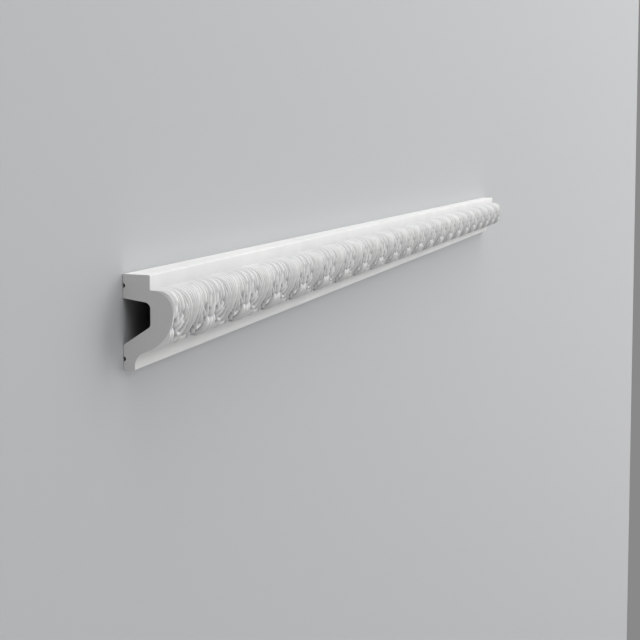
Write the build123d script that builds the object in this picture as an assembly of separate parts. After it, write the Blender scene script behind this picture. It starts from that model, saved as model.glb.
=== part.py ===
from build123d import *
import math
import os

# Wall moulding, one stock length: x runs along it, y up the wall, z out from the wall

# Stock
LENGTH = 2000.0
HEIGHT = 60.0
PROJECTION = 31.9

# Fascia: the plain flat band along the top
FASCIA_HEIGHT = 9.9
FASCIA_DEPTH = 17.3
TOP_DRAFT = 2.0

# Round: the big bulging member, measured down from the top edge to its most forward line
APEX_DROP = 24.1

# Cove and lip below the round
COVE_RADIUS = 8.8
COVE_RAMP = 3.0
LIP_HEIGHT = 3.0
LIP_DEPTH = 7.25
LIP_DRAFT = 2.0

# Hollow back, open to the wall between two flat glue lands
UPPER_LAND = 15.0
LOWER_LAND = 16.05
FRONT_WALL = 14.45
HOLLOW_FLOOR = 14.5
HOLLOW_UPPER_RUN = 2.95
HOLLOW_UPPER_FILLET = 4.0
HOLLOW_LOWER_FILLET = 2.8

# Half-round glue grooves, one in each land
GROOVE_RADIUS = 1.45
GROOVE_INSET = 7.2

# Leaf pattern on the round: it stands on a sunk ground and comes a little proud of the round.
# A repeat runs from the middle of a bud to the middle of the next
REPEAT = 95.0
PATTERN_DROP = 1.4
PATTERN_BORDER = 8.0
PATTERN_RELIEF = 0.9
GROUND_DEPTH = 1.0
GROUND_TURN = 52.0
PATTERN_ROOT = 3.0
PATTERN_TAIL = 8.0

# Crown over each bud: a stem that widens downwards, with a round-ended lobe on each side
STEM_WIDTH = 4.4
STEM_FOOT = 11.2
STEM_TURN = 16.0
LOBE_WIDTH = 11.6
LOBE_LENGTH = 12.2
LOBE_SAG = 1.7

# Bud: a short barrel low on the round, rounded off in front view
BUD_RADIUS = 9.3
BUD_RISE = 4.6
BUD_TURN = 46.0
BUD_WIDTH = 25.0

# Leaf: a scroll that bulges away from the bud and curls under
LEAF_NEAR = 16.8
LEAF_HEAD = 8.4
LEAF_BULGE = 35.0
LEAF_BULGE_DROP = 16.0
LEAF_HEEL = 27.2
LEAF_TURN = 39.0
LEAF_TIP_TURN = 29.0

# Fan and the band that ties its foot, midway between two buds
FAN_HEAD = 29.0
FAN_FOOT = 10.0
FAN_TURN = 46.0
BAND_WIDTH = 15.4
BAND_HEIGHT = 5.2
BAND_GAP = 1.0
BAND_RELIEF = 2.8

# Heights on the wall that several members share
TOP = HEIGHT / 2
BOTTOM = -HEIGHT / 2
SHOULDER = TOP - FASCIA_HEIGHT
APEX = TOP - APEX_DROP
COVE_FOOT = BOTTOM + LIP_HEIGHT
PATTERN_TOP = SHOULDER - PATTERN_DROP

# Upper arc of the round: through the shoulder and upright at the apex
SHOULDER_RISE = PROJECTION - FASCIA_DEPTH
UPPER_RADIUS = ((SHOULDER - APEX) ** 2 + SHOULDER_RISE**2) / (2 * SHOULDER_RISE)
UPPER_CENTRE = PROJECTION - UPPER_RADIUS
UPPER_START = math.atan2(APEX - SHOULDER, FASCIA_DEPTH - UPPER_CENTRE)

# Lower arc of the round: upright at the apex and running by a straight ramp into the cove
COVE_CENTRE = LIP_DEPTH + COVE_RADIUS
COVE_REACH = PROJECTION - COVE_CENTRE
LOWER_SPAN = (APEX - COVE_FOOT) ** 2 + COVE_REACH**2 - COVE_RADIUS**2 - COVE_RAMP**2
LOWER_RADIUS = LOWER_SPAN / (2 * (PROJECTION - LIP_DEPTH))
LOWER_CENTRE = PROJECTION - LOWER_RADIUS
LOWER_LEAN = math.atan2(APEX - COVE_FOOT, COVE_CENTRE - LOWER_CENTRE)
LOWER_TURN = LOWER_LEAN - math.atan2(COVE_RAMP, LOWER_RADIUS + COVE_RADIUS)

# Whole repeats that fill the length
REPEATS = round(LENGTH / REPEAT)
PITCH = LENGTH / REPEATS
BUD_AXIS = PITCH / 2


def swung(y, z, radius, angle):
    """The point on a circle about y, z at an angle from straight out, turning down the wall."""
    return y - radius * math.sin(angle), z + radius * math.cos(angle)


def round_height(turn):
    """The height on the wall where the lower arc has turned this many degrees."""
    return APEX - LOWER_RADIUS * math.sin(math.radians(turn))


def round_points(relief, head=UPPER_START, foot=LOWER_TURN):
    """Ends and middles of the round's two arcs between two turns, lifted off it by a relief."""
    upper = UPPER_RADIUS + relief
    lower = LOWER_RADIUS + relief
    return [
        swung(APEX, UPPER_CENTRE, upper, head),
        swung(APEX, UPPER_CENTRE, upper, head / 2),
        (APEX, PROJECTION + relief),
        swung(APEX, LOWER_CENTRE, lower, foot / 2),
        swung(APEX, LOWER_CENTRE, lower, foot),
    ]


def section():
    """The solid outline: back, top, fascia, round, cove and lip."""
    shoulder, upper, apex, lower, ramp = round_points(0)
    top_front = (TOP - FASCIA_DEPTH * math.tan(math.radians(TOP_DRAFT)), FASCIA_DEPTH)
    lip_front = (BOTTOM + LIP_DEPTH * math.tan(math.radians(LIP_DRAFT)), LIP_DEPTH)
    cove_head = swung(COVE_FOOT, COVE_CENTRE, -COVE_RADIUS, LOWER_TURN)
    cove_middle = swung(COVE_FOOT, COVE_CENTRE, -COVE_RADIUS, LOWER_TURN / 2)
    cove_foot = (COVE_FOOT, LIP_DEPTH)
    with BuildSketch(Plane.YZ) as outline:
        with BuildLine():
            Polyline((BOTTOM, 0), (TOP, 0), top_front, shoulder)
            ThreePointArc(shoulder, upper, apex)
            ThreePointArc(apex, lower, ramp)
            Line(ramp, cove_head)
            ThreePointArc(cove_head, cove_middle, cove_foot)
            Polyline(cove_foot, lip_front, (BOTTOM, 0))
        make_face()
    return outline.sketch


def hollow():
    """The cable hollow in the back: a trapezium with rounded inner corners."""
    depth = PROJECTION - FRONT_WALL
    mouth_top = TOP - UPPER_LAND
    mouth_bottom = BOTTOM + LOWER_LAND
    floor_top = mouth_top - HOLLOW_UPPER_RUN
    floor_bottom = floor_top - HOLLOW_FLOOR
    corners = [(mouth_top, 0), (floor_top, depth), (floor_bottom, depth), (mouth_bottom, 0)]
    with BuildSketch(Plane.YZ) as outline:
        with BuildLine():
            FilletPolyline(corners, radius=[HOLLOW_UPPER_FILLET, HOLLOW_LOWER_FILLET])
            Line(corners[-1], corners[0])
        make_face()
    return outline.sketch


def grooves():
    """The two glue grooves in the back lands."""
    with BuildSketch(Plane.YZ) as outline:
        with Locations((TOP - GROOVE_INSET, 0), (BOTTOM + GROOVE_INSET, 0)):
            Circle(GROOVE_RADIUS)
    return outline.sketch


def sunk_ground():
    """The shallow sinking that the leaves stand in, from under the fascia to the foot of the round."""
    head = -math.asin((PATTERN_TOP - APEX) / UPPER_RADIUS)
    foot = math.radians(GROUND_TURN)
    outer = round_points(PATTERN_RELIEF, head, foot)
    inner = round_points(-GROUND_DEPTH, head, foot)
    with BuildSketch(Plane.YZ) as outline:
        with BuildLine():
            ThreePointArc(*outer[:3])
            ThreePointArc(*outer[2:])
            Line(outer[-1], inner[-1])
            ThreePointArc(*inner[2:])
            ThreePointArc(*inner[:3])
            Line(inner[0], outer[0])
        make_face()
    return outline.sketch


def blanket(relief):
    """A skin one repeat long that follows the round, from the root inside it out to the relief."""
    run = PATTERN_TAIL * math.cos(LOWER_TURN)
    drop = PATTERN_TAIL * math.sin(LOWER_TURN)
    outer = round_points(relief)
    inner = round_points(-PATTERN_ROOT)
    tail = [(y - run, z - drop) for y, z in (outer[-1], inner[-1])]
    with BuildSketch(Plane.YZ) as outline:
        with BuildLine():
            ThreePointArc(*outer[:3])
            ThreePointArc(*outer[2:])
            Polyline(outer[-1], *tail, inner[-1])
            ThreePointArc(*inner[2:])
            ThreePointArc(*inner[:3])
            Line(inner[0], outer[0])
        make_face()
    return extrude(outline.sketch, amount=PITCH / 2, both=True)


def raised(outline, relief):
    """A form with this outline, seen from the front, standing off the round by a relief."""
    return extrude(outline, amount=PROJECTION + relief) & blanket(relief)


def fan():
    """The fan's outline: wide under the fascia, narrow at its foot."""
    foot = round_height(FAN_TURN)
    with BuildSketch() as outline:
        with BuildLine():
            Polyline(
                (-FAN_HEAD / 2, PATTERN_TOP),
                (FAN_HEAD / 2, PATTERN_TOP),
                (FAN_FOOT / 2, foot),
                (-FAN_FOOT / 2, foot),
                close=True,
            )
        make_face()
    return outline.sketch


def band():
    """The outline of the tie below the fan."""
    with BuildSketch() as outline:
        with Locations((0, round_height(FAN_TURN) - BAND_GAP)):
            Rectangle(BAND_WIDTH, BAND_HEIGHT, align=(Align.CENTER, Align.MAX))
    return outline.sketch


def crown():
    """The outline of half a crown: half the stem, and the lobe beside it."""
    waist = BUD_AXIS - STEM_WIDTH / 2
    far = waist - LOBE_WIDTH
    tip = PATTERN_TOP - LOBE_LENGTH
    spring = tip + LOBE_SAG
    foot = round_height(STEM_TURN)
    with BuildSketch() as outline:
        with BuildLine():
            Polyline((waist, spring), (BUD_AXIS - STEM_FOOT / 2, foot), (BUD_AXIS, foot))
            Polyline((BUD_AXIS, foot), (BUD_AXIS, PATTERN_TOP), (far, PATTERN_TOP), (far, spring))
            ThreePointArc((far, spring), ((waist + far) / 2, tip), (waist, spring))
        make_face()
    return outline.sketch


def leaf():
    """The outline of the scrolled leaf between lobe and fan."""
    near = BUD_AXIS - LEAF_NEAR
    head = (near - LEAF_HEAD, PATTERN_TOP)
    bulge = (BUD_AXIS - LEAF_BULGE, PATTERN_TOP - LEAF_BULGE_DROP)
    heel = (BUD_AXIS - LEAF_HEEL, round_height(LEAF_TURN))
    tip = (near, round_height(LEAF_TIP_TURN))
    with BuildSketch() as outline:
        with BuildLine():
            ThreePointArc(head, bulge, heel)
            Polyline(heel, tip, (near, PATTERN_TOP), head)
        make_face()
    return outline.sketch


def bud():
    """The half of a bud that lies within the repeat."""
    sunk = LOWER_RADIUS + BUD_RISE - BUD_RADIUS
    y, z = swung(APEX, LOWER_CENTRE, sunk, math.radians(BUD_TURN))
    barrel = Pos(BUD_AXIS, y, z) * Rot(0, 90, 0) * Cylinder(BUD_RADIUS, BUD_WIDTH)
    front = extrude(Pos(BUD_AXIS, y) * Circle(BUD_WIDTH / 2), amount=PROJECTION + BUD_RISE)
    return barrel & front & blanket(BUD_RADIUS)


def border():
    """The outline of the strip under the fascia from which the leaves spring."""
    with BuildSketch() as outline:
        with Locations((0, PATTERN_TOP)):
            Rectangle(PITCH, PATTERN_BORDER, align=(Align.CENTER, Align.MAX))
    return outline.sketch


def repeat():
    """One repeat of the moulding, with the raised forms grown into the round."""
    one_side = crown() + leaf()
    leaves = border() + fan() + one_side + mirror(one_side, Plane.YZ)
    half_bud = bud()
    forms = raised(leaves, PATTERN_RELIEF) + raised(band(), BAND_RELIEF)
    plain = extrude(section() - sunk_ground() - hollow() - grooves(), amount=PITCH / 2, both=True)
    return plain + forms + half_bud + mirror(half_bud, Plane.YZ)


def moulding():
    """The repeats set end to end over the stock length."""
    unit = repeat()
    first = (PITCH - LENGTH) / 2
    return Part() + [Pos(first + PITCH * step, 0, 0) * unit for step in range(REPEATS)]


os.makedirs("parts", exist_ok=True)
export_step(moulding(), "parts/wall_moulding.step")
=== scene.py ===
import bpy
import math
import numpy as np
from mathutils import Matrix, Vector


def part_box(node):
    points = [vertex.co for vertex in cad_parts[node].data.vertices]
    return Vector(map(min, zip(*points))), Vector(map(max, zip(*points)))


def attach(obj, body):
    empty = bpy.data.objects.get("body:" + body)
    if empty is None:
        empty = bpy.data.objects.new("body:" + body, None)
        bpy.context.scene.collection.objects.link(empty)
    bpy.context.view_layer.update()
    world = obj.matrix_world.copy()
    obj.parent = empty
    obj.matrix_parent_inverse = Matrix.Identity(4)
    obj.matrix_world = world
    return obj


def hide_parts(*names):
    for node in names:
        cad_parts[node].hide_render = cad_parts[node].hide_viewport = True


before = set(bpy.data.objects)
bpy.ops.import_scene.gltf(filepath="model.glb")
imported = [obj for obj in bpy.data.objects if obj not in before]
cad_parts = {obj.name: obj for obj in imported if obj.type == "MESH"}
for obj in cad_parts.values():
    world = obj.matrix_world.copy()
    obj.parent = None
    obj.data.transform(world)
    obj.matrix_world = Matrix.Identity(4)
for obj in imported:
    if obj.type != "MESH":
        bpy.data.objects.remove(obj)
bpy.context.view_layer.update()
mm = 0.001
print("frame loaded:", sorted(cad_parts))


def linearColour(code):
    # sRGB hex to linear light, channel by channel
    channels = np.array([int(code[i:i + 2], 16) for i in (1, 3, 5)]) / 255
    linear = np.where(channels <= 0.04045, channels / 12.92, ((channels + 0.055) / 1.055) ** 2.4)
    return (*linear.tolist(), 1.0)


def addNode(tree, kind, settings=None, **links):
    # one node: settings are its properties or socket values, links feed its sockets from others
    made = tree.nodes.new(kind)
    for name, value in (settings or {}).items():
        if name in made.inputs:
            made.inputs[name].default_value = value
        else:
            setattr(made, name, value)
    for name, source in links.items():
        tree.links.new(source, made.inputs[name.replace("_", " ")])
    return made


# the moulding's section in mm: y up its height, z out from its back
section = dict(
    height=60.0, projection=31.9,
    fasciaHeight=9.9, fasciaDepth=17.3, topDraft=2.0,
    apexDrop=24.1, coveRadius=8.8, coveRamp=3.0,
    lipHeight=3.0, lipDepth=7.25, lipDraft=2.0,
    upperLand=15.0, lowerLand=16.05, frontThickness=14.45,
    hollowFloor=14.5, hollowUpperRun=2.95, hollowUpperFillet=4.0, hollowLowerFillet=2.8,
    grooveRadius=1.45, grooveInset=7.2,
    edgeRound=0.6, edgeSteps=4, filletSteps=8, grooveSteps=10, coveSteps=9,
)


def frontArcs(s):
    # the round's two arcs meet upright at the apex, and the lower one runs by a straight ramp
    # into the cove
    apex = s["height"] / 2 - s["apexDrop"]
    shoulder = s["height"] / 2 - s["fasciaHeight"]
    foot = -s["height"] / 2 + s["lipHeight"]
    rise = s["projection"] - s["fasciaDepth"]
    upper = ((shoulder - apex) ** 2 + rise ** 2) / (2 * rise)
    coveCentre = s["lipDepth"] + s["coveRadius"]
    reach = s["projection"] - coveCentre
    span = (apex - foot) ** 2 + reach ** 2 - s["coveRadius"] ** 2 - s["coveRamp"] ** 2
    lower = span / (2 * (s["projection"] - s["lipDepth"]))
    lean = math.atan2(apex - foot, coveCentre - s["projection"] + lower)
    turn = lean - math.atan2(s["coveRamp"], lower + s["coveRadius"])
    start = math.atan2(apex - shoulder, s["fasciaDepth"] - s["projection"] + upper)
    ends = np.cumsum([-upper * start, lower * turn, s["coveRamp"], s["coveRadius"] * turn])
    return dict(apex=apex, foot=foot, upper=upper, lower=lower, coveCentre=coveCentre,
                turn=turn, start=start, ends=ends)


arcs = frontArcs(section)


def girth(v):
    # point and outward normal at a distance v down the front from the shoulder:
    # the upper arc, the lower arc, the ramp and the cove follow one another along v
    s, ends = section, arcs["ends"]
    apex, upper, lower, turn = (arcs[name] for name in ("apex", "upper", "lower", "turn"))
    pieces = [v < ends[0], v < ends[1], v < ends[2]]
    angle = np.select(pieces, [arcs["start"] + v / upper, (v - ends[0]) / lower, turn],
                      turn - (v - ends[2]) / s["coveRadius"])
    ny, nz = -np.sin(angle), np.cos(angle)
    rampY = apex - lower * math.sin(turn)
    rampZ = s["projection"] - lower + lower * math.cos(turn)
    y = np.select(pieces, [apex + upper * ny, apex + lower * ny,
                           rampY - (v - ends[1]) * math.cos(turn)],
                  arcs["foot"] - s["coveRadius"] * ny)
    z = np.select(pieces, [s["projection"] - upper * (1 - nz), s["projection"] - lower * (1 - nz),
                           rampZ - (v - ends[1]) * math.sin(turn)],
                  arcs["coveCentre"] - s["coveRadius"] * nz)
    return y, z, ny, nz


def roundedCorner(before, corner, after, radius, steps, hold=1.3):
    # the arc of that radius tangent to both sides. A point on each side, at hold times the arc's
    # own reach from the corner, keeps the flats flat
    a, c, b = (np.array(p, float) for p in (before, corner, after))
    da, db = (a - c) / np.linalg.norm(a - c), (b - c) / np.linalg.norm(b - c)
    half = math.acos(np.clip(da @ db, -1, 1)) / 2
    middle = (da + db) / np.linalg.norm(da + db)
    centre = c + middle * radius / math.sin(half)
    t = np.linspace(-1, 1, steps + 1)[:, None] * (math.pi / 2 - half)
    side = (db - da) / np.linalg.norm(db - da)
    arc = centre + radius * (-middle * np.cos(t) + side * np.sin(t))
    reach = hold * radius / math.tan(half)
    return np.vstack([c + da * reach, arc, c + db * reach])


def plainOutline(s):
    # the rest of the section, from the ramp's end round by the cove, the lip, the back and the top
    # to the fascia: straight runs, arcs for the cove, grooves and fillets, softened outer edges
    top, bottom = s["height"] / 2, -s["height"] / 2
    v = np.linspace(arcs["ends"][2], arcs["ends"][3], s["coveSteps"])
    cove = np.stack(girth(v)[:2], axis=1)
    lipFront = (bottom + s["lipDepth"] * math.tan(math.radians(s["lipDraft"])), s["lipDepth"])
    topFront = (top - s["fasciaDepth"] * math.tan(math.radians(s["topDraft"])), s["fasciaDepth"])
    depth = s["projection"] - s["frontThickness"]
    mouthTop, mouthBottom = top - s["upperLand"], bottom + s["lowerLand"]
    floorTop = mouthTop - s["hollowUpperRun"]
    floorBottom = floorTop - s["hollowFloor"]
    t = np.linspace(0, math.pi, s["grooveSteps"] + 1)
    groove = s["grooveRadius"] * np.stack([-np.cos(t), np.sin(t)], axis=1)
    shoulder = (top - s["fasciaHeight"], s["fasciaDepth"])
    edge, steps = s["edgeRound"], s["edgeSteps"]
    return np.vstack([
        cove,
        roundedCorner(cove[-1], lipFront, (bottom, 0), edge, steps),
        roundedCorner(lipFront, (bottom, 0), (mouthBottom, 0), edge, steps),
        groove + (bottom + s["grooveInset"], 0),
        (mouthBottom, 0),
        roundedCorner((mouthBottom, 0), (floorBottom, depth), (floorTop, depth),
                      s["hollowLowerFillet"], s["filletSteps"]),
        roundedCorner((floorBottom, depth), (floorTop, depth), (mouthTop, 0),
                      s["hollowUpperFillet"], s["filletSteps"]),
        (mouthTop, 0),
        groove + (top - s["grooveInset"], 0),
        roundedCorner((mouthTop, 0), (top, 0), topFront, edge, steps),
        roundedCorner((top, 0), topFront, shoulder, edge, steps),
    ])


# acanthus carving, in mm: a is the distance from the bud's axis along the length, v the distance
# down the front from the shoulder. A ridge is (points on its crest as (a, v), half widths along
# it, heights along it)
carving = dict(
    repeats=21,
    # the ground is sunk between the leaves, by these depths at these v
    groundV=[3.0, 9.0, 16.0, 23.0, 29.0, 34.0, 40.0, 47.0, 54.0],
    groundDepth=[0.0, 0.6, 0.8, 1.2, 2.0, 2.0, 1.6, 1.0, 0.0],
    # and the leaves swell towards their upper ends, by these factors at these v
    swellV=[5.0, 9.0, 13.0, 16.0, 20.0, 24.0, 29.0],
    swell=[1.0, 1.6, 1.5, 1.25, 0.95, 0.8, 1.0],
    ridges=dict(
        rib=([(0, 5), (0, 12), (0, 19)], [1.2, 1.4, 1.7], [0.8, 1.8, 2.0]),
        collar=([(0, 18.5), (0, 24), (0, 30)], [1.8, 3.4, 6.4], [1.9, 2.2, 2.4]),
        lobe=([(8.4, 5), (8.6, 11), (8.8, 16.0)], [4.5, 5.0, 4.9], [1.6, 2.2, 2.5]),
        strip=([(15.4, 5), (16.2, 14), (15.8, 23)], [1.2, 1.5, 1.5], [0.9, 1.8, 1.9]),
        leafLobe=([(20.2, 5), (21.6, 13), (22.2, 20.5)], [2.4, 3.3, 3.4], [0.9, 2.0, 2.1]),
        lobeBase=([(8.8, 16.0), (8.4, 21.0), (7.8, 24.8)], [4.6, 4.6, 3.8], [1.5, 1.6, 1.4]),
        leaflet=([(14.6, 24), (13.4, 28.5), (12.8, 31.5)], [1.5, 2.4, 2.4], [1.2, 2.2, 2.4]),
        scroll1=([(25.2, 5), (29.4, 12), (33.0, 18.5), (35.2, 25.5), (34.8, 32.5), (32.0, 37.8),
                  (27.2, 39.6), (22.0, 38.4), (17.4, 36.0)],
                 [1.4, 1.7, 1.8, 1.8, 1.9, 1.9, 1.7, 1.5, 1.2],
                 [0.9, 1.9, 2.3, 2.5, 2.7, 2.9, 2.9, 2.6, 2.0]),
        scroll2=([(23.6, 6), (26.6, 13), (28.0, 20), (28.4, 26.5), (27.4, 32.0), (23.8, 35.6)],
                 [1.1, 1.3, 1.4, 1.4, 1.4, 1.2], [0.8, 1.8, 2.1, 2.2, 2.3, 1.8]),
        eye=([(31.0, 19.5), (31.6, 24), (31.2, 29.0)], [1.2, 1.7, 1.5], [1.5, 2.4, 2.3]),
        feather1=([(16.0, 31.6), (19.8, 29.6), (23.6, 26.6)], [1.8, 2.3, 1.8], [1.6, 2.4, 2.1]),
        feather2=([(17.8, 36.0), (21.8, 33.8), (25.6, 30.6)], [1.8, 2.3, 1.8], [1.7, 2.5, 2.1]),
        tip1=([(20.6, 43.8), (26.0, 43.2), (31.4, 40.6)], [1.5, 2.4, 2.0], [1.4, 2.7, 2.4]),
        tip2=([(25.4, 47.8), (30.4, 46.6), (35.2, 43.6)], [1.5, 2.4, 2.0], [1.2, 2.4, 2.2]),
        outer=([(29.8, 5), (34.2, 12), (37.8, 20), (39.6, 28), (39.6, 36)],
               [1.3, 1.6, 1.7, 1.6, 1.1], [0.9, 1.9, 2.3, 2.3, 1.5]),
        reed1=([(33.8, 5), (37.9, 14), (41.4, 24), (42.9, 33), (43.3, 42)],
               [2.0, 1.9, 1.6, 1.3, 1.1], [0.9, 1.9, 2.2, 2.2, 1.7]),
        reed2=([(40.6, 5), (42.8, 14), (44.6, 24), (45.3, 33), (45.5, 42)],
               [2.4, 2.0, 1.4, 1.1, 0.9], [0.9, 1.9, 2.2, 2.2, 1.7]),
        reed3=([(47.62, 5), (47.62, 14), (47.62, 24), (47.62, 33), (47.62, 42)],
               [2.8, 2.4, 1.6, 1.2, 1.1], [0.9, 1.9, 2.3, 2.3, 1.9]),
    ),
    # most ridges have steep sides, the lobes' feet and small leaf ends are rounder
    ridgePower=0.55, softPower=0.8,
    softRidges=("lobeBase", "feather1", "feather2", "tip1", "tip2"),
    # a boss is (a, v, half width, half height, height): the bud, its petals and the tongue under it
    bosses=dict(bud=(0.0, 40.8, 13.2, 9.0, 3.9), middlePetal=(0.0, 41.2, 6.0, 9.0, 4.7),
                sidePetal=(8.0, 40.6, 5.4, 8.2, 4.3), tongue=(0.0, 49.4, 3.4, 3.2, 2.4)),
    bossPower=0.62,
    # pits are bosses turned inwards: the dark corners under the lobes and beside the scroll
    pits=dict(underLobe=(8.6, 28.4, 3.2, 2.2, 2.6),
              besideScroll=(37.8, 39.8, 2.0, 2.2, 0.8)),
    lobeGroove=(0.62, 0.16, 0.9),  # where in the lobe's half width, how wide, how deep
    # the tie under the fan: a block with rounded edges, squarer the higher the powers
    tie=dict(halfWidth=8.0, v=46.8, halfHeight=3.8, height=2.3,
             widthPower=8, heightPower=4, edgePower=0.5),
    # the grid's columns follow crests and grooves: a of each leading line at each v, and the
    # number of columns between lines
    leadV=[0, 5, 14, 24, 33, 42, 56],
    leadA=[[0] * 7, [2.9, 2.9, 2.8, 3.0, 3.0, 3.0, 3.0], [8.6, 8.6, 8.9, 9.0, 8.6, 8.6, 8.6],
           [13.7, 13.7, 14.3, 14.3, 14.2, 14.2, 14.2], [15.4, 15.4, 16.2, 15.8, 16.2, 16.2, 16.2],
           [17.2, 17.2, 17.9, 18.0, 18.2, 18.2, 18.2], [20.2, 20.2, 21.6, 22.2, 21.6, 21.6, 21.6],
           [22.6, 22.6, 25.2, 26.3, 25.6, 25.6, 25.6], [23.6, 23.6, 26.8, 28.2, 28.2, 28.2, 28.2],
           [24.4, 24.4, 28.5, 30.0, 30.2, 30.2, 30.2], [25.8, 25.8, 30.5, 34.8, 35.0, 35.0, 35.0],
           [27.6, 27.6, 32.9, 36.8, 37.0, 37.0, 37.0], [29.8, 29.8, 35.2, 38.8, 39.4, 39.4, 39.4],
           [31.5, 31.5, 36.6, 40.1, 41.0, 41.0, 41.0], [33.8, 33.8, 37.9, 41.4, 42.6, 43.0, 43.0],
           [36.8, 36.8, 40.3, 43.0, 44.0, 44.2, 44.2], [40.6, 40.6, 42.8, 44.6, 45.2, 45.4, 45.4],
           [44.0, 44.0, 45.2, 46.0, 46.4, 46.5, 46.5], [47.62] * 7],
    leadColumns=[3, 5, 5, 2, 2, 3, 4, 2, 2, 6, 2, 2, 2, 2, 2, 2, 2, 2],
    # how much painted shade darkens the quirk under the fascia and the recesses, at these v
    shadeV=[0.0, 9.0, 16.0, 24.0, 30.0],
    quirkShade=[0.24, 0.16, 0.02, 0.0, 0.0], recessShade=[0.4, 0.4, 0.4, 0.6, 1.2],
    shadeReach=(-4, -2, 0, 2, 4),  # in grid steps, the points around that a recess is judged by
    # rows between these v
    rowV=[0, 4, 16, 27.5, 39, 49, 55.2], rowCounts=[1, 6, 10, 14, 11, 3],
    rimLift=0.02,  # carving lower than this gets no rim of its own at the cuts
    sharpAngle=30.0,  # in degrees, the section's bends that shade as edges
)


def alongCurve(points, count):
    # Catmull-Rom: a smooth curve through the points
    p = np.asarray(points, float)
    q = np.vstack([2 * p[0] - p[1], p, 2 * p[-1] - p[-2]])
    t = np.linspace(0, len(p) - 1 - 1e-9, count)  # stops just short, inside the last span
    i = t.astype(int)
    f = (t - i)[:, None]
    a, b, c, d = q[i], q[i + 1], q[i + 2], q[i + 3]
    return 0.5 * (2 * b + (c - a) * f + (2 * a - 5 * b + 4 * c - d) * f ** 2
                  + (3 * b - a - 3 * c + d) * f ** 3)


def ridge(a, v, power, points, widths, heights, groove=None, samples=60):
    # height falls off from the crest as a power of one minus the squared distance in half widths,
    # and a groove takes a bell-shaped dip out of it on both sides of the crest
    crest = alongCurve(points, samples)
    k = np.linspace(0, 1, samples)
    width = np.interp(k, np.linspace(0, 1, len(widths)), widths)
    height = np.interp(k, np.linspace(0, 1, len(heights)), heights)
    r = np.hypot(a[..., None] - crest[:, 0], v[..., None] - crest[:, 1]) / width
    lift = height * np.clip(1 - r ** 2, 0, None) ** power
    if groove:
        place, wide, depth = groove
        lift = lift - depth * np.exp(-((r - place) / wide) ** 2) * (r < 1)
    return lift.max(axis=-1)


def boss(a, v, spot, power):
    # an oval dome: height times a power of one minus the squared distance in half axes
    ca, cv, wide, tall, height = spot
    return height * np.clip(1 - ((a - ca) / wide) ** 2 - ((v - cv) / tall) ** 2, 0, None) ** power


def relief(a, v):
    # the highest of all the ridges, bosses and the tie, less the sunk ground and the pits
    c, tie = carving, carving["tie"]
    fanAxis = c["leadA"][-1][0]
    lifts = []
    for name, made in c["ridges"].items():
        power = c["softPower" if name in c["softRidges"] else "ridgePower"]
        groove = c["lobeGroove"] if name == "lobe" else None
        lifts.append(ridge(a, v, power, *made, groove=groove))
    lifts += [boss(a, v, spot, c["bossPower"]) for spot in c["bosses"].values()]
    across = 1 - (np.abs(a - fanAxis) / tie["halfWidth"]) ** tie["widthPower"]
    down = 1 - ((v - tie["v"]) / tie["halfHeight"]) ** tie["heightPower"]
    across, down = (np.clip(part, 0, None) ** tie["edgePower"] for part in (across, down))
    lifts.append(tie["height"] * across * down)
    sunk = np.interp(v, c["groundV"], c["groundDepth"])
    sunk = sunk + sum(boss(a, v, spot, 1.0) for spot in c["pits"].values())
    lift = np.maximum.reduce(lifts + [np.zeros_like(a)])
    return lift * np.interp(v, c["swellV"], c["swell"]) - sunk


def spread(knots, counts):
    # knots with that many equal steps between each and the next
    inner = [np.linspace(0, 1, n, endpoint=False) + i for i, n in enumerate(counts)]
    return np.interp(np.concatenate(inner + [[len(counts)]]), np.arange(len(knots)), knots)


def carvedGrid(length):
    # half a repeat from the bud's axis to the fan's, then its mirror, then all along the length:
    # place along the length, v, height of the carving, and the number of columns in a repeat
    c = carving
    pitch = length / c["repeats"]
    v = spread(c["rowV"], c["rowCounts"])
    s = spread(np.arange(len(c["leadA"])), c["leadColumns"])
    lead = np.array([np.interp(v, c["leadV"], line) for line in c["leadA"]])
    a = [np.interp(s, np.arange(len(lead)), lead[:, row]) for row in range(len(v))]
    a = np.array(a).T
    a = a * (pitch / 2 / a[-1])
    h = relief(a, np.broadcast_to(v, a.shape))
    u = np.vstack([a, pitch - a[-2:0:-1]])
    h = np.vstack([h, h[-2:0:-1]])
    perRepeat = len(u)
    start = np.repeat(np.arange(c["repeats"]) * pitch, perRepeat)[:, None]
    u = np.vstack([np.tile(u, (c["repeats"], 1)) + start, np.full((1, len(v)), length)])
    h = np.vstack([np.tile(h, (c["repeats"], 1)), h[:1]])
    return u, v, h, perRepeat


def joiningFans(fine, coarse, perRepeat):
    # the fine grid meets the coarse columns in fans, each fine step going to the nearer column
    step = np.arange(fine.shape[0] - 1)
    nearer = (step + perRepeat // 2) // perRepeat
    bay = np.arange(carving["repeats"])
    middle = bay * perRepeat + perRepeat - perRepeat // 2
    foot, head = coarse[:, 0], coarse[:, -1]
    return np.vstack([
        np.stack([fine[step, -1], foot[nearer], fine[step + 1, -1]], -1),
        np.stack([fine[middle, -1], foot[bay], foot[bay + 1]], -1),
        np.stack([head[nearer], fine[step, 0], fine[step + 1, 0]], -1),
        np.stack([head[bay], fine[middle, 0], head[bay + 1]], -1),
    ])


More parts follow.
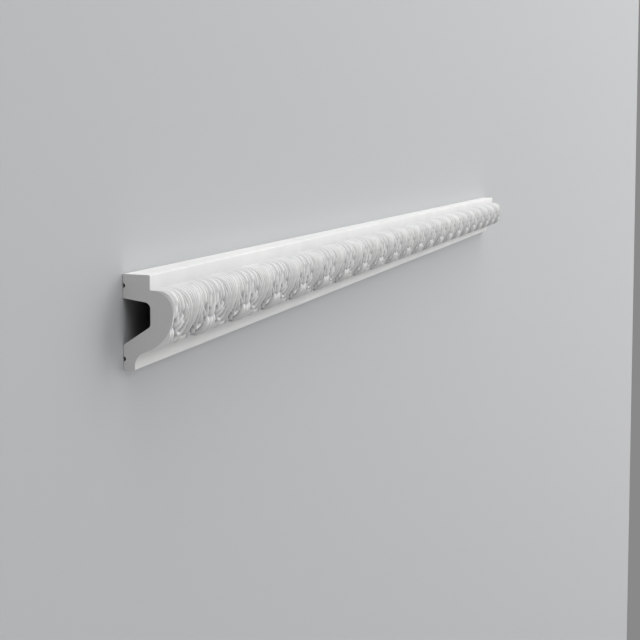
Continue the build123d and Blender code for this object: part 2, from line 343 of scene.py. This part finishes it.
def cutFaces(fine, coarse, raised):
    # each cut shows the plain section as its core, and the carved layer outside it as a paler rim
    under = fine[[0, -1]].copy()
    under[raised] = fine.size + coarse.size + np.arange(raised.sum())
    caps = [np.concatenate([under[0], coarse[0]])[::-1], np.concatenate([under[1], coarse[-1]])]
    near, far = fine[0], fine[-1]
    rims = np.vstack([np.stack([near[:-1], under[0, :-1], under[0, 1:], near[1:]], -1),
                      np.stack([far[:-1], far[1:], under[1, 1:], under[1, :-1]], -1)])
    rims = [[i for k, i in enumerate(rim) if i != rim[k - 1]] for rim in rims.tolist()]
    return [cap.tolist() for cap in caps], [rim for rim in rims if len(rim) > 2]


def markSharp(mesh, loop, row, ends):
    # sharp lines: the section's corners all along, and the outline of both cuts
    ahead, before = np.roll(loop, -1, 0) - loop, loop - np.roll(loop, 1, 0)
    turned = ahead[:, 0] * before[:, 1] - ahead[:, 1] * before[:, 0]
    bend = np.arctan2(turned, (ahead * before).sum(1))
    angled = np.abs(bend) > math.radians(carving["sharpAngle"])
    edge = np.empty(len(mesh.edges) * 2, np.int32)
    mesh.edges.foreach_get("vertices", edge)
    one, other = edge.reshape(-1, 2).T
    sharp = (row[one] == row[other]) & angled[row[one]] | ends[one] & ends[other]
    mesh.attributes.new("sharp_edge", "BOOLEAN", "EDGE").data.foreach_set("value", sharp)


def paintedRecessShade(v, h):
    # painted shade: greyer in the quirk under the fascia, and by how far a point is below the
    # carving around it
    c, reach = carving, carving["shadeReach"]
    around = sum(np.roll(np.roll(h, i, 0), j, 1) for i in reach for j in reach) / len(reach) ** 2
    below = np.clip(around - h, 0, 1)
    below[:, [0, 1, -2, -1]] = 0  # the rows at the grid's edges have no carving on one side
    quirkShading = np.interp(v, c["shadeV"], c["quirkShade"])
    return np.clip(quirkShading + below * np.interp(v, c["shadeV"], c["recessShade"]), 0, 1)


def mouldingMesh():
    # the carved front is the section's front pushed out along its normal by the relief, the plain
    # members are the outline carried straight along the length, and two cuts close the ends
    lo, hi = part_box("wall_moulding")
    length = (hi.x - lo.x) / mm
    u, v, h, perRepeat = carvedGrid(length)
    y, z, ny, nz = girth(v)
    carved = np.stack([u - length / 2, y + ny * h, z + nz * h], axis=-1)

    # the plain members run straight, one column to a repeat
    outline = plainOutline(section)
    columns = np.linspace(-length / 2, length / 2, carving["repeats"] + 1)
    plain = np.empty((len(columns), len(outline), 3))
    plain[..., 0] = columns[:, None]
    plain[..., 1:] = outline

    # point numbers: the fine grid, the coarse grid, then the section's own points under the rims
    fine = np.arange(carved.shape[0] * len(v)).reshape(-1, len(v))
    coarse = fine.size + np.arange(len(columns) * len(outline)).reshape(len(columns), -1)
    ground = np.stack(np.broadcast_arrays([[-length / 2], [length / 2]], y, z), -1)
    raised = h[[0, -1]] > carving["rimLift"]
    points = np.vstack([carved.reshape(-1, 3), plain.reshape(-1, 3), ground[raised]]) * mm

    carvedFaces, plainFaces = (
        np.stack([g[:-1, :-1], g[:-1, 1:], g[1:, 1:], g[1:, :-1]], -1).reshape(-1, 4).tolist()
        for g in (fine, coarse))
    fans = joiningFans(fine, coarse, perRepeat).tolist()
    caps, rims = cutFaces(fine, coarse, raised)
    faces = carvedFaces + plainFaces + fans + rims + caps
    mesh = bpy.data.meshes.new("wall_moulding_carved")
    mesh.from_pydata(points, [], faces)

    # finish of each face: 0 primed, 1 sawn, 2 bare foam all over the back, its grey deepened as
    # painted shade for the back channel
    corner = section["edgeSteps"] + 3  # points in a softened edge: its arc and one on each side
    strip = np.arange(len(outline) - 1)
    behind = strip >= section["coveSteps"] + 2 * corner - 1
    behind &= strip < len(outline) - 2 * corner
    finish = np.zeros(len(faces), np.int32)
    bay = np.tile(np.where(behind, 2, 0), len(columns) - 1)
    finish[len(carvedFaces):len(carvedFaces) + len(plainFaces)] = bay
    finish[-len(caps):] = 1
    mesh.polygons.foreach_set("material_index", finish)
    smooth = np.arange(len(faces)) < len(faces) - len(rims) - len(caps)
    mesh.polygons.foreach_set("use_smooth", smooth)

    # each point's place in the section, and whether it lies on a cut
    row = np.concatenate([np.tile(np.arange(len(v)), fine.shape[0]),
                          np.tile(len(v) + np.arange(len(outline)), len(columns)),
                          np.nonzero(raised)[1]])
    ends = np.zeros(len(points), bool)
    ends[np.concatenate([*caps, fine[0], fine[-1]])] = True
    markSharp(mesh, np.vstack([np.stack([y, z], -1), outline]), row, ends)

    # painted shade for the recesses and the quirk, carried as a point attribute to the primer's
    # colour
    paintedShade = np.zeros(len(points), np.float32)
    paintedShade[:fine.size] = paintedRecessShade(v, h).ravel()
    mesh.attributes.new("paintedShade", "FLOAT", "POINT").data.foreach_set("value", paintedShade)
    mesh.validate()
    mesh.update()
    return mesh


def newMaterial(name):
    # a material with its node tree and shader
    made = bpy.data.materials.new(name)
    made.use_nodes = True
    return made, made.node_tree, made.node_tree.nodes["Principled BSDF"]


foamIor = 1.5
# looks, with sizes in mm
primedLook = dict(
    # the greyer colour is both the random patches' tone and painted shade in the recesses and the
    # quirk
    clean="#f3f3f1", shadedMottled="#a6aab0",
    patchSize=60.0, patchDetail=3.0, patchRange=(0.35, 0.65), patchDust=0.1,
    grainSize=0.8, grainDetail=2.0, grainDepth=0.05, grainStrength=0.25, roughness=(0.52, 0.66),
)


def primedFoam(look):
    # hard polyurethane foam moulded in a smooth tool and sprayed with white primer: an even matt
    # white with a fine grain, in random faint patches of greyer tone, and greyer still as painted
    # shade in the carving's recesses and under the fascia
    made, tree, shader = newMaterial("primedFoam")
    place = addNode(tree, "ShaderNodeTexCoord")
    patch = addNode(tree, "ShaderNodeTexNoise",
                    dict(Scale=1 / (look["patchSize"] * mm), Detail=look["patchDetail"]),
                    Vector=place.outputs["Object"])
    grain = addNode(tree, "ShaderNodeTexNoise",
                    dict(Scale=1 / (look["grainSize"] * mm), Detail=look["grainDetail"]),
                    Vector=place.outputs["Object"])
    # the painted shade of the recesses and the quirk, read back from the mesh
    paintedShade = addNode(tree, "ShaderNodeAttribute", dict(attribute_name="paintedShade"))
    low, high = look["patchRange"]
    tone = addNode(tree, "ShaderNodeMapRange",
                   {"From Min": low, "From Max": high, "To Max": look["patchDust"]},
                   Value=patch.outputs["Fac"])
    # the random patches and the painted shade together pull the white towards the greyer colour
    shadeAndMottle = addNode(tree, "ShaderNodeMath", dict(operation="ADD", use_clamp=True),
                       Value=paintedShade.outputs["Fac"])
    tree.links.new(tone.outputs["Result"], shadeAndMottle.inputs[1])
    clean, shadedMottled = linearColour(look["clean"]), linearColour(look["shadedMottled"])
    colour = addNode(tree, "ShaderNodeMix", dict(data_type="RGBA", A=clean, B=shadedMottled),
                     Factor=shadeAndMottle.outputs["Value"])
    tree.links.new(colour.outputs["Result"], shader.inputs["Base Color"])
    smooth, rough = look["roughness"]
    sheen = addNode(tree, "ShaderNodeMapRange", {"To Min": smooth, "To Max": rough},
                    Value=grain.outputs["Fac"])
    tree.links.new(sheen.outputs["Result"], shader.inputs["Roughness"])
    bump = addNode(tree, "ShaderNodeBump",
                   dict(Strength=look["grainStrength"], Distance=look["grainDepth"] * mm),
                   Height=grain.outputs["Fac"])
    tree.links.new(bump.outputs["Normal"], shader.inputs["Normal"])
    shader.inputs["IOR"].default_value = foamIor
    return made


# real cells are about 0.2 mm across, drawn at 0.7 mm so that they show
sawnLook = dict(inside="#d6d5d4", edge="#dedddc", cellSize=0.7, cellDepth=0.1, cellStrength=0.3,
                roughness=0.85)


def sawnFoam(look):
    # the same foam where a fine saw has cut it: bare, dull grey, with closed cells that the blade
    # opened
    made, tree, shader = newMaterial("sawnFoam")
    place = addNode(tree, "ShaderNodeTexCoord")
    cells = addNode(tree, "ShaderNodeTexVoronoi", dict(Scale=1 / (look["cellSize"] * mm)),
                    Vector=place.outputs["Object"])
    inside, edge = linearColour(look["inside"]), linearColour(look["edge"])
    colour = addNode(tree, "ShaderNodeMix", dict(data_type="RGBA", A=inside, B=edge),
                     Factor=cells.outputs["Distance"])
    tree.links.new(colour.outputs["Result"], shader.inputs["Base Color"])
    bump = addNode(tree, "ShaderNodeBump",
                   dict(Strength=look["cellStrength"], Distance=look["cellDepth"] * mm),
                   Height=cells.outputs["Distance"])
    tree.links.new(bump.outputs["Normal"], shader.inputs["Normal"])
    shader.inputs["Roughness"].default_value = look["roughness"]
    shader.inputs["IOR"].default_value = foamIor
    return made


# the back's greys: partly the unprimed skin, partly painted shade that darkens the back channel
bareShadedLook = dict(light="#a6a5a2", dark="#8f8e8c", blotchSize=25.0, blotchDetail=4.0,
                pockSize=2.5, pockEdge=0.35, pockDepth=0.15, pockStrength=0.4, roughness=0.8)


def bareShadedFoam(look):
    # the foam's own skin on the back, where no primer reaches: duller and greyer, darker than the
    # sawn core as painted shade for the back channel, a little blotched, with the shallow pocks
    # that gas leaves against the tool
    made, tree, shader = newMaterial("bareShadedFoam")
    place = addNode(tree, "ShaderNodeTexCoord")
    blotch = addNode(tree, "ShaderNodeTexNoise",
                     dict(Scale=1 / (look["blotchSize"] * mm), Detail=look["blotchDetail"]),
                     Vector=place.outputs["Object"])
    pocks = addNode(tree, "ShaderNodeTexVoronoi", dict(Scale=1 / (look["pockSize"] * mm)),
                    Vector=place.outputs["Object"])
    light, dark = linearColour(look["light"]), linearColour(look["dark"])
    colour = addNode(tree, "ShaderNodeMix", dict(data_type="RGBA", A=light, B=dark),
                     Factor=blotch.outputs["Fac"])
    tree.links.new(colour.outputs["Result"], shader.inputs["Base Color"])
    pit = addNode(tree, "ShaderNodeMapRange", {"From Max": look["pockEdge"]},
                  Value=pocks.outputs["Distance"])
    bump = addNode(tree, "ShaderNodeBump",
                   dict(Strength=look["pockStrength"], Distance=look["pockDepth"] * mm),
                   Height=pit.outputs["Result"])
    tree.links.new(bump.outputs["Normal"], shader.inputs["Normal"])
    shader.inputs["Roughness"].default_value = look["roughness"]
    shader.inputs["IOR"].default_value = foamIor
    return made


moulding = bpy.data.objects.new("wall_moulding_carved", mouldingMesh())
bpy.context.scene.collection.objects.link(moulding)
for finish in (primedFoam(primedLook), sawnFoam(sawnLook), bareShadedFoam(bareShadedLook)):
    moulding.data.materials.append(finish)
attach(moulding, "root")
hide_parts("wall_moulding")
moulding.data.calc_loop_triangles()
print("moulding:", len(moulding.data.loop_triangles), "triangles")

floorLook = dict(size=30.0, drop=0.0002, colour="#c6c8ca", roughness=0.7)


def paleFloor(look):
    # a flat square, a hair below the piece so the two never share a plane
    half, z = look["size"] / 2, -look["drop"]
    mesh = bpy.data.meshes.new("floor")
    corners = [(-half, -half, z), (half, -half, z), (half, half, z), (-half, half, z)]
    mesh.from_pydata(corners, [], [(0, 1, 2, 3)])
    floor = bpy.data.objects.new("floor", mesh)
    bpy.context.scene.collection.objects.link(floor)
    paint, tree, shader = newMaterial("paleFloor")
    shader.inputs["Base Color"].default_value = linearColour(look["colour"])
    shader.inputs["Roughness"].default_value = look["roughness"]
    mesh.materials.append(paint)


paleFloor(floorLook)

# soft studio light: wide soft lamps as (direction it comes from, strength), and an even sky
studio = dict(
    lamps=dict(above=((0.0, 0.999, 0.05), 1.1), key=((-0.5, 0.75, 0.45), 0.6),
               front=((0.0, -0.26, 0.97), 0.36), farUpper=((0.8, 0.5, 0.3), 1.28),
               farSide=((0.9, 0.1, 0.4), 0.91)),
    spread=46.0,  # how wide each lamp looks, in degrees
    sky="#ffffff", skyStrength=0.25,
)


def studioLight(s):
    # each lamp is a wide sun turned to shine from its direction
    for name, (source, strength) in s["lamps"].items():
        lamp = bpy.data.lights.new(name, "SUN")
        lamp.energy, lamp.angle = strength, math.radians(s["spread"])
        holder = bpy.data.objects.new(name, lamp)
        holder.rotation_euler = Vector(source).to_track_quat("Z", "Y").to_euler()
        bpy.context.scene.collection.objects.link(holder)
    world = bpy.data.worlds.new("studio")
    world.use_nodes = True
    background = world.node_tree.nodes["Background"]
    background.inputs["Color"].default_value = linearColour(s["sky"])
    background.inputs["Strength"].default_value = s["skyStrength"]
    bpy.context.scene.world = world


studioLight(studio)
bpy.context.scene.view_settings.view_transform = "Standard"
print("floor and light set")

# the photo's camera, solved from the moulding's own edges: place in mm, turn as a rotation vector
# in degrees, focal length and picture width in pixels, sensor in mm, clipping in m
shot = dict(place=(-1958.4, 101.1, 327.4), turn=(0.602, -11.967, 5.638), focal=1636.7, image=640,
            sensor=36.0, clip=(0.01, 100.0))


def photoCamera(s):
    # the lens follows from the focal length in pixels over the picture's width
    data = bpy.data.cameras.new("photoCamera")
    data.sensor_width = s["sensor"]
    data.lens = s["focal"] / s["image"] * s["sensor"]
    data.clip_start, data.clip_end = s["clip"]
    camera = bpy.data.objects.new("photoCamera", data)
    turn = Vector(s["turn"])
    # before the turn it looks along the piece, with y up in the picture
    looking = Matrix(((0, 0, 1), (0, 1, 0), (-1, 0, 0)))
    world = (looking @ Matrix.Rotation(math.radians(turn.length), 3, turn)).transposed()
    camera.matrix_world = Matrix.Translation(Vector(s["place"]) * mm) @ world.to_4x4()
    bpy.context.scene.collection.objects.link(camera)
    bpy.context.scene.camera = camera


photoCamera(shot)
